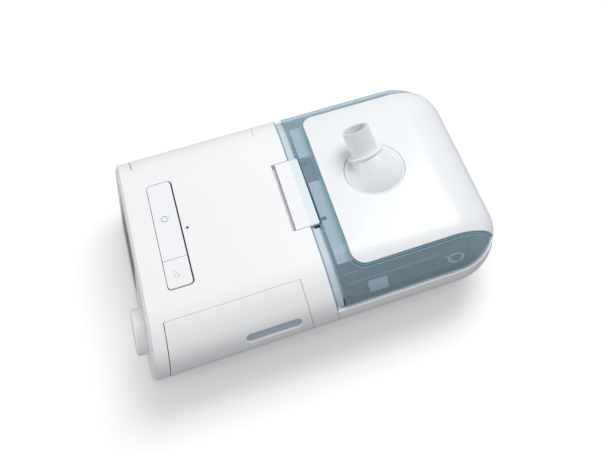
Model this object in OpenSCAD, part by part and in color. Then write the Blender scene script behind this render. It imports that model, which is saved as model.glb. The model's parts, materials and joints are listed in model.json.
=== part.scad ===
// Bedside positive-pressure breathing machine: a therapy unit at the -Y end and a heated
// humidifier with a flip lid at the +Y end. Lengths are millimetres and +Z is up.
// X runs across the machine, Y along it. The origin is under the middle of the machine.

/* [Body] */
// Width of the machine at its widest line
body_w = 193; // [185:1:205]
// Length from the face of the dial to the end of the humidifier
body_l = 297; // [290:1:310]
// Height of the flat top above the table
top_z = 84; // [82:0.5:90]
// Height of the widest line of the sides
belt_z = 52; // [48:1:54]
// How far the rounded sides reach in from the widest line
side_depth = 42; // [36:1:46]
// Radius of the sides at the widest line
side_r = 26; // [24:0.5:28]
// Lean of the lower sides, in degrees from upright
taper = 25; // [15:1:28]
// Radius of the lower edge
base_r = 12; // [10:0.5:14]
// Slope of the front face: run over rise
rake = 0.25; // [0.15:0.01:0.3]
// Distance from the face of the dial to the front edge of the top
front_top_in = 24; // [22.5:0.5:28]
// Wall of the white mouldings
wall = 2.2; // [1.8:0.1:2.6]
// Gap at the seams between pieces
seam = 0.3; // [0.2:0.05:0.5]

/* [Therapy unit] */
// Place of the joint between therapy unit and humidifier
joint_y = 6; // [2:0.5:10]
// Height of the parting line of the case
split_z = 16; // [14:0.5:20]
// How far the front panel stands proud of the case edge
panel_proud = 1.2; // [0.6:0.1:1.6]
// Thickness of the front panel
panel_t = 2.8; // [2.4:0.1:3.2]
// Width of the display window
window_w = 72; // [60:1:80]
// Height of the display window along the face
window_h = 42; // [34:1:46]
// Centre of the display window across the machine
window_x = -30; // [-34:1:-24]

/* [Controls] */
// Half the width of the pair of buttons
keys_half = 48.5; // [46:0.5:52]
// Place of the line between the two buttons
keys_split_x = 23.6; // [18:0.2:28]
// Distance from the front edge of the top to the buttons
keys_in = 17.5; // [15:0.5:19]
// Depth of the buttons along the machine
keys_d = 19.4; // [17:0.2:22]
// Gap round the buttons
keys_gap = 0.5; // [0.4:0.05:0.7]
// Extra width of the gap at the rear and at the short button's end
keys_shadow = 0.8; // [0.2:0.1:1.2]
// Travel of a button
keys_travel = 1; // [0.6:0.1:1.2]
// Radius of the dial
dial_r = 18; // [15:0.25:19]
// Place of the dial across the machine
dial_x = 52; // [46:0.5:54]
// Height of the dial's centre
dial_z = 42.3; // [40:0.1:46]
// Travel of the dial when it is pressed
dial_travel = 0.5; // [0.3:0.1:0.5]
// Radius of the dial's shaft
shaft_r = 3; // [2.5:0.1:3.4]
// Running clearance of shafts and pins, on the radius
run_gap = 0.05; // [0.03:0.01:0.08]

/* [Side doors] */
// Distance from the front edge of the top to the front seam of the doors
door_front_in = 10.3; // [9:0.1:12]
// Distance from the rear seam of the doors to the joint
door_rear_in = 19.8; // [18:0.2:22]
// Lower seam of the doors
door_low_z = 33; // [31:0.5:36]
// Angle of the door's hinge from the top, round the shoulder
door_angle = 20.5; // [18:0.5:22]
// Radius of the rounded hinge edge
door_edge_r = 1.6; // [1.5:0.05:1.8]
// Radius of the door pins
door_pin_r = 0.8; // [0.7:0.05:0.9]
// Length of the air intake slot
slot_l = 43; // [34:0.5:46]
// Height of the air intake slot
slot_h = 8.4; // [6:0.1:9]
// Distance from the middle of the air intake slot to the joint
slot_in = 48.2; // [46:0.1:55]
// Height of the middle of the air intake slot
slot_z = 60.7; // [59:0.1:62]

/* [Blower] */
// Place of the blower across the machine
blower_x = -8; // [-12:1:-4]
// Distance from the blower's axis to the joint
blower_in = 52; // [50:1:54]
// Outer radius of the blower housing
blower_r = 38; // [36:1:39]
// Height of the underside of the blower housing
blower_z = 40; // [38:1:41]
// Height of the blower housing
blower_h = 24; // [24:0.5:25]
// Number of impeller blades
blades = 11; // [7:1:15]
// Radius of the air path through the port
port_r = 9.5; // [8:0.5:9.5]
// Place of the air port across the machine
port_x = -30; // [-32:1:-26]
// Height of the air port
port_z = 52; // [51:0.5:53]

/* [Humidifier] */
// Height of the rail where the lid meets the base
rail_z = 58.4; // [57:0.2:60]
// Gap along the rail
rail_gap = 0.6; // [0.5:0.05:0.8]
// Wall of the clear lid
lid_wall = 2.5; // [2.2:0.1:2.8]
// Half the width of the white lid cover
cover_half = 74.5; // [68:0.5:76]
// Distance from the joint to the front edge of the white lid cover
cover_in = 22; // [20:0.5:24]
// Radius of the cover's front corners
cover_corner = 11; // [6:0.5:14]
// Height of the lid hinge
hinge_z = 38; // [37:0.5:40]
// Half the width of the lid's end wall below the rail
hinge_half = 56; // [52:1:58]
// Radius of the lid hinge pins
hinge_pin_r = 1.8; // [1.5:0.1:1.9]
// Distance from the widest line of the sides to the water tank
tank_side = 20.5; // [19.5:0.5:28]
// Radius of the heated plate
plate_r = 48; // [40:1:50]

/* [Latch] */
// Half the width of the latch tab
latch_half = 32.5; // [28:0.5:34]
// Middle of the latch tab across the machine
latch_x = -1.4; // [-2:0.1:0]
// Reach of the latch tab over the therapy unit
latch_in = 10.9; // [10:0.1:12]
// Reach of the latch tab over the lid
latch_past = 7.9; // [7:0.1:8.2]
// Depth of the latch's notch in the therapy unit
notch_in = 14; // [13.5:0.1:15]
// Radius of the latch pin
latch_pin_r = 1.2; // [1:0.05:1.4]

/* [Elbow] */
// Centre of the elbow across the machine
elbow_x = -2; // [-4:0.5:0]
// Distance of the elbow behind the middle of the humidifier's flat top
elbow_past = 13.7; // [10:0.1:16]
// Radius of the elbow's disc
disc_r = 24.4; // [22:0.1:26]
// Outer radius of the outlet tube
tube_r = 11.2; // [10.5:0.1:11.5]
// Bore of the outlet tube
tube_bore_r = 9.3; // [8.5:0.1:9.5]
// Length of the outlet tube past its collar
tube_l = 20.8; // [18:0.1:26]
// Lean of the outlet tube from upright
tube_lean = 38; // [34:1:42]
// Swivel of the outlet tube from the -X direction, towards the front
tube_swivel = 15.3; // [0:0.1:30]
// Radius of the spigot that turns in the lid
spigot_r = 14.5; // [13.5:0.1:15]

/* [Hidden] */
$fn = 96;
far = 400;
over = 20;
half_w = body_w / 2;
half_l = body_l / 2;
foot_h = 2;
front_top_y = -half_l + front_top_in;
keys_y = front_top_y + keys_in;
door_front_y = front_top_y + door_front_in;
door_rear_y = joint_y - door_rear_in;
slot_y = joint_y - slot_in;
blower_y = joint_y - blower_in;
cover_y = joint_y + cover_in;
latch_y = joint_y - latch_in;
latch_rear_y = joint_y + latch_past;
notch_y = joint_y - notch_in;
tank_half = half_w - tank_side;

// Rounded side, as arcs in a half section. d is measured out from the core of the body.
core_x = half_w - side_depth;
side_cd = side_depth - side_r;
rise = top_z - belt_z;
top_r = (side_cd * side_cd + rise * rise - side_r * side_r) / (2 * (rise - side_r));
top_cz = top_z - top_r;
blend = atan2(belt_z - top_cz, side_cd);
base_cz = foot_h + base_r;
arc_grow = 0.02;
base_cd = side_cd + (side_r - base_r - (belt_z - base_cz) * sin(taper)) / cos(taper);

// Reach of the straight lower side at height z
function side_d(z) = side_cd + side_r * cos(taper)
    - (belt_z - side_r * sin(taper) - z) * tan(taper);

// Rows along the machine
rake_deg = atan(rake);
face_l = (top_z - foot_h) / cos(rake_deg);
front_far_y = front_top_y - (top_z - foot_h) * rake;
cover_out = 0.5;
end_y = half_l - cover_out;
end_core_y = end_y - side_depth;
elbow_y = (joint_y + end_core_y) / 2 + elbow_past;

// Dial, in the raked frame of the front face
dial_face_y = front_top_y - (top_z - dial_z) * rake;
dial_down = -(top_z - dial_z) / cos(rake_deg);
dial_chamfer = 1;
dial_out = (half_l + dial_face_y - (dial_r - dial_chamfer) * sin(rake_deg)) / cos(rake_deg);
dial_gap = 0.5;
dial_back = 0.9;
dial_bore_d = 5;
panel_back = panel_t - panel_proud;
module_t = 4;
board_t = 1.6;
board_y = panel_back + seam + module_t + seam;
shaft_tail = 10;

// Buttons
keys_rear_y = keys_y + keys_d;
sensor_y = keys_rear_y + 4.6;
sensor_r = 1;
keys_low_z = 78;
keys_corner = 3.5;
frame_wall = 2.5;
frame_low_z = 68;
shell_in_z = top_z - wall;
switch_z = 66;

// Doors
door_bar_in = 0.05;
door_bar_gap = 0.4;
door_hinge_r = top_r - door_edge_r - door_bar_in;
door_hx = core_x + door_hinge_r * sin(door_angle);
door_hz = top_cz + door_hinge_r * cos(door_angle);
door_cut_deg = door_angle + 1;
door_front_gap = 0.6;
bay_x = half_w - 20.5;
bay_t = 2;
bay_low_z = 31;
bay_clear = 0.3;
pin_in = 4;

// Blower
motor_r = 20;
motor_low_z = 20;
blower_wall = 2;
impeller_r = 30;
impeller_z = blower_z + 5;
impeller_h = 12;
duct_wall = 2;
mount_ring = blower_r - 6;
board_z = 8;
board_x0 = -(half_w - 26.5);
board_x1 = half_w - 36.5;
board_y0 = front_top_y + 6.5;
chip_t = 3;
coil_h = 8;
capacitor_r = 4;
floor_z = foot_h + wall;

// Humidifier
hum_y = joint_y + seam;
hum_wall = 2.4;
lid_out = 0.5;
lid_in = lid_out + lid_wall;
bulk_out = lid_in + 0.4;
bulk_t = 2.7;
flange_t = 2;
strip_w = 6.2;
lid_y = hum_y + seam;
lid_low_z = rail_z + rail_gap;
lid_top_z = top_z - lid_out;
lid_in_z = top_z - lid_in;
end_low_z = hinge_z - 4.5;
end_cut_z = hinge_z - 5.5;
knuckle_r = 3.3;
hinge_y = end_core_y + side_d(hinge_z) - lid_out - knuckle_r;
relief_y = half_l - 15.5;
relief_d = 0.7;
ear_t = 5;
ear_gap = 0.5;
hinge_pin_l = 14;
knuckle_l = 20;
tank_y = joint_y + 8;
tank_end_y = half_l - 22.5;
rim_out = 1.6;
tank_wall = 2;
tank_low_z = 14;
tank_split_z = 36;
tank_seal_h = 2;
tank_top_z = 74;
tank_corner = 18;
tank_hole_r = plate_r - 5;
tank_outlet_r = spigot_r + 1.5;
heater_z = 11.7;
heater_t = 1;
pad_z = 10;
hum_floor_z = foot_h + hum_wall;

// Latch
latch_t = 2.4;
latch_pz = 77.2;
latch_py = joint_y + 6;
notch_side = 0.6;
notch_floor_z = 79;
lid_notch_y = joint_y + 9;
arm_w = 3;
arm_x = 26;
ear_in = arm_x + 0.4;

// Elbow
elbow_at = [elbow_x, elbow_y, 0];
frame_half = half_w - 28.5;
frame_rear_y = cover_y + 16;
frame_in_z = lid_in_z - 2.2;
cover_top_z = top_z + cover_out;
disc_t = 1.7;
disc_gap = 0.4;
disc_top_z = cover_top_z - 0.2;
disc_low_z = disc_top_z - disc_t;
spigot_low_z = 76;
spigot_bore_r = 11;
clip_r = 17;
clip_z = lid_in_z - 2.2;
clip_t = 1.6;
boss_r = 18;
tube_start = 20.1;
tube_step = 0.3;
collar_r = 15;
collar_l = 1.6;
bend_z = 75.5;
tube_turn = [0, 0, tube_swivel];

// ---- the form of the body -------------------------------------------------------------

// Half section of the rounded side, inset by t, for d >= 0
module side_profile(t) {
    tr = top_r - t;
    sr = side_r - t;
    br = base_r - t;
    intersection() {
        translate([0, top_cz]) circle(tr);
        polygon([[0, top_cz], [far * cos(blend), top_cz + far * sin(blend)], [0, top_cz + far]]);
    }
    translate([side_cd, belt_z]) circle(sr + arc_grow);
    translate([base_cd, base_cz]) circle(br + arc_grow);
    polygon([[0, foot_h + t], [base_cd, foot_h + t],
        [base_cd + br * cos(taper), base_cz - br * sin(taper)],
        [side_cd + sr * cos(taper), belt_z - sr * sin(taper)],
        [tr * cos(blend), top_cz + tr * sin(blend)], [0, top_cz]]);
}

// The same, without the part of the circles behind the core
module side_half(t) {
    intersection() {
        side_profile(t);
        translate([0, -far]) square([far, 2 * far]);
    }
}

// Whole cross section of the body, inset by t
module section(t) {
    for (m = [0, 1]) mirror([m, 0]) translate([core_x, 0]) side_half(t);
    translate([-core_x, foot_h + t]) square([2 * core_x, top_z - foot_h - 2 * t]);
}

// Outer form of the whole machine, inset by t, from y0 to the rounded end
module body_form(t, y0) {
    translate([0, end_core_y, 0]) rotate([90, 0, 0])
        linear_extrude(end_core_y - y0) section(t);
    translate([-core_x, end_core_y, 0]) rotate([90, 0, 90])
        linear_extrude(2 * core_x) side_half(t);
    translate([core_x, end_core_y, 0]) rotate_extrude(angle = 90) side_half(t);
    translate([-core_x, end_core_y, 0]) rotate([0, 0, 90])
        rotate_extrude(angle = 90) side_half(t);
}

// Straight length of the body form from y0 to y1
module bar_form(t, y0, y1) {
    translate([0, y1, 0]) rotate([90, 0, 0]) linear_extrude(y1 - y0) section(t);
}

// Everything behind the raked front face, moved back by d
module behind_front(d) {
    rotate([90, 0, 90]) translate([0, 0, -far])
        linear_extrude(2 * far) polygon([
            [front_top_y + d / cos(rake_deg) + over * rake, top_z + over],
            [front_top_y + d / cos(rake_deg) - (top_z + over) * rake, -over],
            [far, -over], [far, top_z + over]]);
}

// Frame of the front face: X across, Z up the face, Y into the machine
module on_front() {
    translate([0, front_top_y, top_z]) rotate([-rake_deg, 0, 0]) children();
}

// Frame of the dial: its axis is -Z here, pointing out of the face
module on_dial() {
    on_front() translate([dial_x, 0, dial_down]) rotate([-90, 0, 0]) children();
}

// A box from its two corners
module span(a, b) {
    translate(a) cube(b - a);
}

// A plate in plan with rounded corners, from its two corners
module round_span(a, b, r) {
    translate([0, 0, a[2]]) linear_extrude(b[2] - a[2]) {
        translate([a[0] + r, a[1]]) square([b[0] - a[0] - 2 * r, b[1] - a[1]]);
        translate([a[0], a[1] + r]) square([b[0] - a[0], b[1] - a[1] - 2 * r]);
        for (x = [a[0] + r, b[0] - r], y = [a[1] + r, b[1] - r])
            translate([x, y]) circle(r);
    }
}

// A tube along Z
module tube(r, bore, h) {
    difference() {
        cylinder(r = r, h = h);
        translate([0, 0, -1]) cylinder(r = bore, h = h + 2);
    }
}

// ---- therapy unit -----------------------------------------------------------------------

// Space that a side door fills, grown by g. The door's hinge edge is a bar along Y.
module door_space(g, gf) {
    intersection() {
        rotate([90, 0, 0]) translate([0, 0, -far]) linear_extrude(2 * far) polygon([
            [door_hx - 30 * sin(door_cut_deg), door_hz - 30 * cos(door_cut_deg)],
            [door_hx + far * sin(door_cut_deg), door_hz + far * cos(door_cut_deg)],
            [far * 2, door_low_z - g], [core_x + 5, door_low_z - g]]);
        door_run(g, gf);
    }
}

// Length of a side door between its seams, grown by g, and by gf at the raked seam
module door_run(g, gf) {
    rotate([90, 0, 90]) linear_extrude(far) polygon([
        [door_front_y - gf - top_z * rake, 0], [door_front_y - gf, top_z],
        [door_front_y - gf + over * rake, top_z + over], [door_rear_y + g, top_z + over],
        [door_rear_y + g, 0]]);
}

// The bar of the hinge edge, along Y
module door_bar(r, y0, y1) {
    translate([door_hx, y1, door_hz]) rotate([90, 0, 0]) cylinder(r = r, h = y1 - y0);
}

// Front end of the hinge bar, where the raked seam crosses it
door_bar_y = door_front_y - (top_z - door_hz) * rake;

// Opening that a door and its hinge edge need in the case
module door_cut() {
    door_space(seam, door_front_gap);
    intersection() {
        door_bar(door_edge_r + door_bar_gap, -far, far);
        door_run(seam, door_front_gap);
    }
}

// Bosses that hold the pins of one door
module door_bosses() {
    door_bar(door_edge_r + 0.4, door_rear_y + seam, door_rear_y + seam + pin_in);
    door_bar(door_edge_r + 0.4, door_bar_y - door_front_gap - pin_in, door_bar_y - door_front_gap);
}

module door_pin_pair(r) {
    door_bar(r, door_rear_y - pin_in, door_rear_y + seam + pin_in - 0.5);
    door_bar(r, door_bar_y - door_front_gap - pin_in + 0.5, door_bar_y + pin_in + 0.5);
}

module plain_door() {
    difference() {
        union() {
            intersection() {
                difference() {
                    bar_form(0, -far / 2, 0);
                    bar_form(wall, -far / 2, 1);
                }
                door_space(0, 0);
            }
            intersection() {
                door_bar(door_edge_r, -far / 2, 0);
                door_run(0, 0);
            }
        }
        door_pin_pair(door_pin_r + run_gap);
    }
}

module top_shell() {
    color("whitesmoke") difference() {
        union() {
            intersection() {
                difference() {
                    bar_form(0, -far / 2, joint_y);
                    bar_form(wall, -far / 2, joint_y - wall);
                }
                behind_front(0);
                span([-far, -far, split_z], [far, far, far]);
            }
            span([latch_x - latch_half - 3, notch_y - wall, notch_floor_z - wall],
                [latch_x + latch_half + 3, joint_y, shell_in_z + 0.5]);
            for (m = [0, 1]) mirror([m, 0, 0]) intersection() {
                door_bosses();
                bar_form(0, -far / 2, joint_y);
            }
        }
        for (m = [0, 1]) mirror([m, 0, 0]) {
            door_cut();
            door_pin_pair(door_pin_r);
        }
        round_span([-keys_half, keys_y, frame_low_z],
            [keys_half + keys_shadow, keys_rear_y + keys_shadow, far], keys_corner);
        translate([0, sensor_y, top_z - wall - 1]) cylinder(r = sensor_r + 0.2, h = wall + 2);
        span([latch_x - latch_half - notch_side, notch_y, notch_floor_z],
            [latch_x + latch_half + notch_side, joint_y + 1, far]);
        translate([port_x, joint_y + 1, port_z]) rotate([90, 0, 0])
            cylinder(r = port_r + duct_wall + seam, h = wall + 2);
        socket_hole();
        dock_hole();
    }
}

// Round recess for the power socket in the -X side
socket_z = 28;
socket_y = joint_y - 10;
socket_r = 6;
socket_face_x = -(half_w - 9.5);
socket_back_x = socket_face_x + 27;
socket_half = 6.5;
socket_bore_r = 3.7;
socket_bore_l = 9;
module socket_hole() {
    translate([-far, socket_y, socket_z]) rotate([0, 90, 0])
        cylinder(r = socket_r + seam, h = far + socket_face_x + 2 * socket_bore_l);
}

// Window for the contact block between the two units
dock_x = [32, 48];
dock_z = [24, 34];
dock_d = 8;
module dock_hole() {
    span([dock_x[0] - seam, joint_y - wall - 1, dock_z[0] - seam],
        [dock_x[1] + seam, joint_y + 1, dock_z[1] + seam]);
}

// Places of the feet and screws under the therapy unit
foot_x = half_w - 44.5;
unit_front_y = front_top_y + 6.5;
unit_feet_at = [for (x = [-foot_x, foot_x], y = [unit_front_y, joint_y - 18]) [x, y]];
screw_x = half_w - 34.5;
unit_screws_at = [for (x = [-screw_x, screw_x], y = [unit_front_y + 18, joint_y - 28]) [x, y]];
blower_posts_at = [for (a = [45:90:315])
    [blower_x + mount_ring * cos(a), blower_y + mount_ring * sin(a)]];
foot_r = 6.5;
foot_sink = 0.8;
screw_r = 1.5;
screw_head_r = 3;
screw_head_t = 1.8;
screw_l = 9;
boss_h = 7;
post_r = 4;
grommet_h = 4;
board_post_r = 3;
board_posts_at = [for (x = [board_x0 + 14, board_x1 - 10], y = [board_y0 + 6, joint_y - 18])
    [x, y]];

module bottom_case() {
    color("gainsboro") difference() {
        union() {
            intersection() {
                difference() {
                    bar_form(0, -far / 2, joint_y);
                    bar_form(wall, -far / 2, joint_y - wall);
                }
                behind_front(0);
                span([-far, -far, 0], [far, far, split_z - 0.05]);
            }
            for (p = unit_screws_at) translate([p[0], p[1], foot_h])
                cylinder(r = screw_r + 2, h = wall + boss_h);
            for (p = blower_posts_at) translate([p[0], p[1], foot_h])
                cylinder(r = post_r, h = blower_z - grommet_h - foot_h);
            for (p = board_posts_at) translate([p[0], p[1], foot_h])
                cylinder(r = board_post_r, h = board_z - foot_h);
        }
        for (p = unit_screws_at) translate([p[0], p[1], 0]) {
            cylinder(r = screw_r, h = far);
            cylinder(r = screw_head_r + 0.2, h = foot_h + screw_head_t + 0.2);
        }
        for (p = unit_feet_at) translate([p[0], p[1], 0])
            cylinder(r = foot_r + 0.1, h = foot_h + foot_sink);
    }
}

module front_panel() {
    color("whitesmoke") difference() {
        intersection() {
            bar_form(wall + bay_clear, -far / 2, joint_y);
            behind_front(-panel_proud);
            difference() {
                span([-far, -far, 0], [far, 0, far]);
                behind_front(panel_back);
            }
        }
        on_front() {
            span([window_x - window_w / 2 - 0.1, -5, dial_down - window_h / 2 - 0.1],
                [window_x + window_w / 2 + 0.1, 0, dial_down + window_h / 2 + 0.1]);
            span([window_x - window_w / 2 + 4, -5, dial_down - window_h / 2 + 4],
                [window_x + window_w / 2 - 4, 5, dial_down + window_h / 2 - 4]);
        }
        on_dial() translate([0, 0, -5]) cylinder(r = dial_r + dial_gap, h = 10);
    }
}

module display_window() {
    color("black") on_front()
        span([window_x - window_w / 2, -panel_proud, dial_down - window_h / 2],
            [window_x + window_w / 2, 0, dial_down + window_h / 2]);
}

module display_module() {
    color("dimgray") on_front()
        span([window_x - window_w / 2 + 2, panel_back + seam, dial_down - window_h / 2 + 2],
            [window_x + window_w / 2 - 2, panel_back + seam + module_t,
                dial_down + window_h / 2 - 2]);
}

module display_board() {
    color("darkgreen") difference() {
        on_front() span([window_x - window_w / 2 - 2, board_y, dial_down - 22],
            [dial_x + 14, board_y + board_t, dial_down + 22]);
        on_dial() cylinder(r = shaft_r + 0.6, h = 20);
    }
}

module dial_encoder() {
    color("silver") on_dial() difference() {
        translate([-6.5, -6.5, panel_back + seam]) cube([13, 13, board_y - panel_back - seam]);
        cylinder(r = shaft_r + run_gap, h = 20);
    }
}

module dial_shaft() {
    color("silver") on_dial() {
        translate([0, 0, -dial_bore_d + dial_back + 0.4])
            cylinder(r = shaft_r, h = dial_bore_d - dial_back - 0.4 + shaft_tail);
        translate([0, 0, board_y + board_t + 0.4]) cylinder(r = shaft_r + 1.6, h = 1);
    }
}

module dial_knob() {
    color("whitesmoke") on_dial() difference() {
        union() {
            translate([0, 0, -dial_out])
                cylinder(r1 = dial_r - dial_chamfer, r2 = dial_r, h = dial_chamfer);
            translate([0, 0, -dial_out + dial_chamfer])
                cylinder(r = dial_r, h = dial_out - dial_chamfer + dial_back);
        }
        translate([0, 0, dial_back - dial_bore_d]) cylinder(r = shaft_r + run_gap, h = 20);
    }
}

// One button: its share of the rounded pair, square where the two meet
module key(x0, x1) {
    intersection() {
        round_span([keys_gap - keys_half, keys_y + keys_gap, keys_low_z],
            [keys_half - keys_gap, keys_rear_y - keys_gap, top_z - 0.1],
            keys_corner - keys_gap);
        span([x0, keys_y, keys_low_z - 1], [x1, keys_rear_y, top_z + 1]);
    }
}

module therapy_button() {
    color("white") key(-keys_half, keys_split_x - keys_gap / 2);
}

module ramp_button() {
    color("white") key(keys_split_x + keys_gap / 2, keys_half);
}

module button_frame() {
    color("gray") difference() {
        round_span([-keys_half - frame_wall, keys_y - frame_wall, frame_low_z],
            [keys_half + frame_wall, keys_rear_y + frame_wall, shell_in_z - 0.05],
            keys_corner + frame_wall);
        round_span([-keys_half, keys_y, frame_low_z - 1],
            [keys_half, keys_rear_y, far], keys_corner);
    }
}

spring_r = 2.2;
spring_wire = 0.5;
long_springs_at = [-38, 13];
short_springs_at = [36.2];
module button_board() {
    color("darkgreen") {
        span([-keys_half - frame_wall, keys_y - frame_wall, switch_z],
            [keys_half + frame_wall, keys_rear_y + frame_wall + 6, frame_low_z]);
        for (x = [-12.4, 42]) translate([x, keys_y + keys_d / 2, frame_low_z])
            cylinder(r = 3, h = keys_low_z - keys_travel - 0.4 - frame_low_z);
    }
}

module springs(xs) {
    for (x = xs) translate([x, keys_y + keys_d / 2, frame_low_z])
        tube(spring_r, spring_r - spring_wire, keys_low_z - frame_low_z);
}

module therapy_button_springs() {
    color("silver") springs(long_springs_at);
}

module ramp_button_springs() {
    color("silver") springs(short_springs_at);
}

module light_sensor() {
    color("dimgray") translate([0, sensor_y, frame_low_z])
        cylinder(r = sensor_r, h = top_z - 0.1 - frame_low_z);
}

module filter_door() {
    color("whitesmoke") difference() {
        plain_door();
        slot_space(far);
    }
}

// The air intake slot: a level slot with round ends through the door
module slot_space(depth) {
    translate([half_w - 20, slot_y, slot_z]) rotate([90, 0, 90])
        linear_extrude(depth) {
            square([slot_l - slot_h, slot_h], center = true);
            for (s = [-1, 1]) translate([s * (slot_l - slot_h) / 2, 0]) circle(slot_h / 2);
        }
}

module accessory_door() {
    color("whitesmoke") mirror([1, 0, 0]) plain_door();
}

module door_pins() {
    color("silver") for (m = [0, 1]) mirror([m, 0, 0]) door_pin_pair(door_pin_r);
}

// Tub behind a side door: an open box whose rim follows the inside of the case
bay_top_z = 77;
bay_past = 2.6;
module bay() {
    intersection() {
        bar_form(wall + bay_clear, -far / 2, 0);
        difference() {
            bay_box(0);
            bay_box(bay_t);
        }
    }
}

// Box of the tub, inset by t, with a raked front; it runs on past the side of the machine
module bay_box(t) {
    intersection() {
        span([bay_x + t, -far, bay_low_z + t], [far - 1 + t, far, bay_top_z - t]);
        door_run(bay_past - t, bay_past - t);
    }
}

filter_y = [slot_y - 26.5, slot_y + 18.5];
filter_z = [38, 68];
filter_t = 6;
card_y = door_front_y + 18.2;
card_z = 52;
card_half = 12;
card_t = 2.1;
card_gap = 0.25;
reader_d = 26;
reader_half = 15;
module filter_bay() {
    color("gainsboro") difference() {
        bay();
        span([bay_x - 1, filter_y[0] + 3, filter_z[0] + 3],
            [bay_x + bay_t + 1, filter_y[1] - 3, filter_z[1] - 3]);
        span([bay_x - 1, card_y - card_half - card_gap, card_z - card_t / 2 - card_gap],
            [bay_x + bay_t + 1, card_y + card_half + card_gap, card_z + card_t / 2 + card_gap]);
    }
}

module accessory_bay() {
    color("gainsboro") mirror([1, 0, 0]) bay();
}

module intake_filter() {
    color("slategray") span([bay_x + bay_t, filter_y[0], filter_z[0]],
        [bay_x + bay_t + filter_t, filter_y[1], filter_z[1]]);
}

module card_reader() {
    color("silver") difference() {
        span([bay_x - reader_d, card_y - reader_half, card_z - 3],
            [bay_x, card_y + reader_half, card_z + 3]);
        span([bay_x - reader_d + 2, card_y - card_half - card_gap, card_z - card_t / 2 - card_gap],
            [bay_x + 1, card_y + card_half + card_gap, card_z + card_t / 2 + card_gap]);
    }
}

module memory_card() {
    color("midnightblue") span([bay_x - reader_d + 2.3, card_y - card_half, card_z - card_t / 2],
        [bay_x + bay_t + 4, card_y + card_half, card_z + card_t / 2]);
}

// ---- blower -----------------------------------------------------------------------------

module at_blower(z) {
    translate([blower_x, blower_y, z]) children();
}

// Air path from the blower to the port
module port_bore(r, y0, y1) {
    translate([port_x, y1, port_z]) rotate([90, 0, 0]) cylinder(r = r, h = y1 - y0);
}

module blower_housing() {
    color("darkgray") difference() {
        union() {
            at_blower(blower_z) tube(blower_r, blower_r - blower_wall, blower_h - blower_wall);
            at_blower(blower_z) tube(blower_r, motor_r + seam, blower_wall);
        }
        port_bore(port_r, blower_y, 0);
        for (p = blower_posts_at) translate([p[0], p[1], blower_z - 1])
            cylinder(r = 1.6, h = blower_wall + 2);
    }
}

module blower_cover() {
    color("darkgray") at_blower(blower_z + blower_h - blower_wall)
        tube(blower_r, 15, blower_wall);
}

module impeller() {
    color("white") at_blower(impeller_z) difference() {
        union() {
            cylinder(r = impeller_r, h = 1.5);
            cylinder(r = 7, h = impeller_h);
            for (i = [0:blades - 1]) rotate([0, 0, i * 360 / blades])
                translate([6, 0, 1]) rotate([0, 0, 28])
                    translate([0, -0.6, 0]) cube([20, 1.2, impeller_h - 3]);
        }
        translate([0, 0, -1]) cylinder(r = 2 + run_gap, h = impeller_h);
    }
}

module blower_motor() {
    color("dimgray") {
        at_blower(motor_low_z) cylinder(r = motor_r, h = blower_z + blower_wall - motor_low_z);
        at_blower(blower_z) cylinder(r = 2, h = impeller_z + impeller_h - 3 - blower_z);
    }
}

module blower_mounts() {
    color("black") for (p = blower_posts_at) translate([p[0], p[1], 0]) {
        translate([0, 0, blower_z - grommet_h]) cylinder(r = post_r, h = grommet_h);
        translate([0, 0, blower_z]) cylinder(r = 1.6, h = blower_wall);
    }
}

module outlet_duct() {
    color("darkgray") difference() {
        port_bore(port_r + duct_wall, blower_y, joint_y);
        port_bore(port_r, blower_y - 1, joint_y + 1);
        at_blower(blower_z - 5) cylinder(r = blower_r + 0.1, h = blower_h + 10);
    }
}

module main_board() {
    color("darkgreen") difference() {
        span([board_x0, board_y0, board_z], [board_x1, joint_y - 7, board_z + board_t]);
        for (p = blower_posts_at) translate([p[0], p[1], 0]) cylinder(r = post_r + 0.5, h = 20);
        for (p = unit_screws_at) translate([p[0], p[1], 0]) cylinder(r = screw_r + 3, h = 20);
    }
    color("black") {
        span([board_x0 + 30, board_y0 + 6, board_z + board_t],
            [board_x0 + 50, board_y0 + 26, board_z + board_t + chip_t]);
        span([board_x1 - 46, board_y0 + 6, board_z + board_t],
            [board_x1 - 20, board_y0 + 22, board_z + board_t + coil_h]);
    }
    color("steelblue") for (x = [board_x0 + 68, board_x0 + 78])
        translate([x, board_y0 + 14, board_z + board_t]) cylinder(r = capacitor_r, h = 3 * capacitor_r);
}

module power_socket() {
    color("black") difference() {
        union() {
            span([socket_back_x - 9.5, socket_y - socket_half, board_z + board_t],
                [socket_back_x, socket_y + socket_half, socket_z - socket_half + 1]);
            span([socket_face_x + 6, socket_y - socket_half, socket_z - socket_half + 0.5],
                [socket_back_x, socket_y + socket_half, socket_z + socket_half]);
            translate([socket_face_x, socket_y, socket_z]) rotate([0, 90, 0])
                cylinder(r = socket_r, h = 10);
        }
        translate([socket_face_x - 1, socket_y, socket_z]) rotate([0, 90, 0])
            cylinder(r = socket_bore_r, h = socket_bore_l + 1);
    }
}

module dock_connector() {
    color("black") {
        span([dock_x[0], joint_y - dock_d, dock_z[0]], [dock_x[1], joint_y, dock_z[1]]);
        span([dock_x[0] + 3, joint_y - dock_d, board_z + board_t],
            [dock_x[1] - 3, joint_y - dock_d + 4, dock_z[0]]);
    }
}

module screws(at, z_top) {
    for (p = at) translate([p[0], p[1], 0]) {
        translate([0, 0, foot_h + 0.2]) cylinder(r = screw_head_r, h = screw_head_t);
        translate([0, 0, foot_h + 0.2]) cylinder(r = screw_r - 0.02, h = z_top - foot_h - 0.2);
    }
}

module case_screws() {
    color("silver") screws(unit_screws_at, foot_h + screw_l);
}

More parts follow.
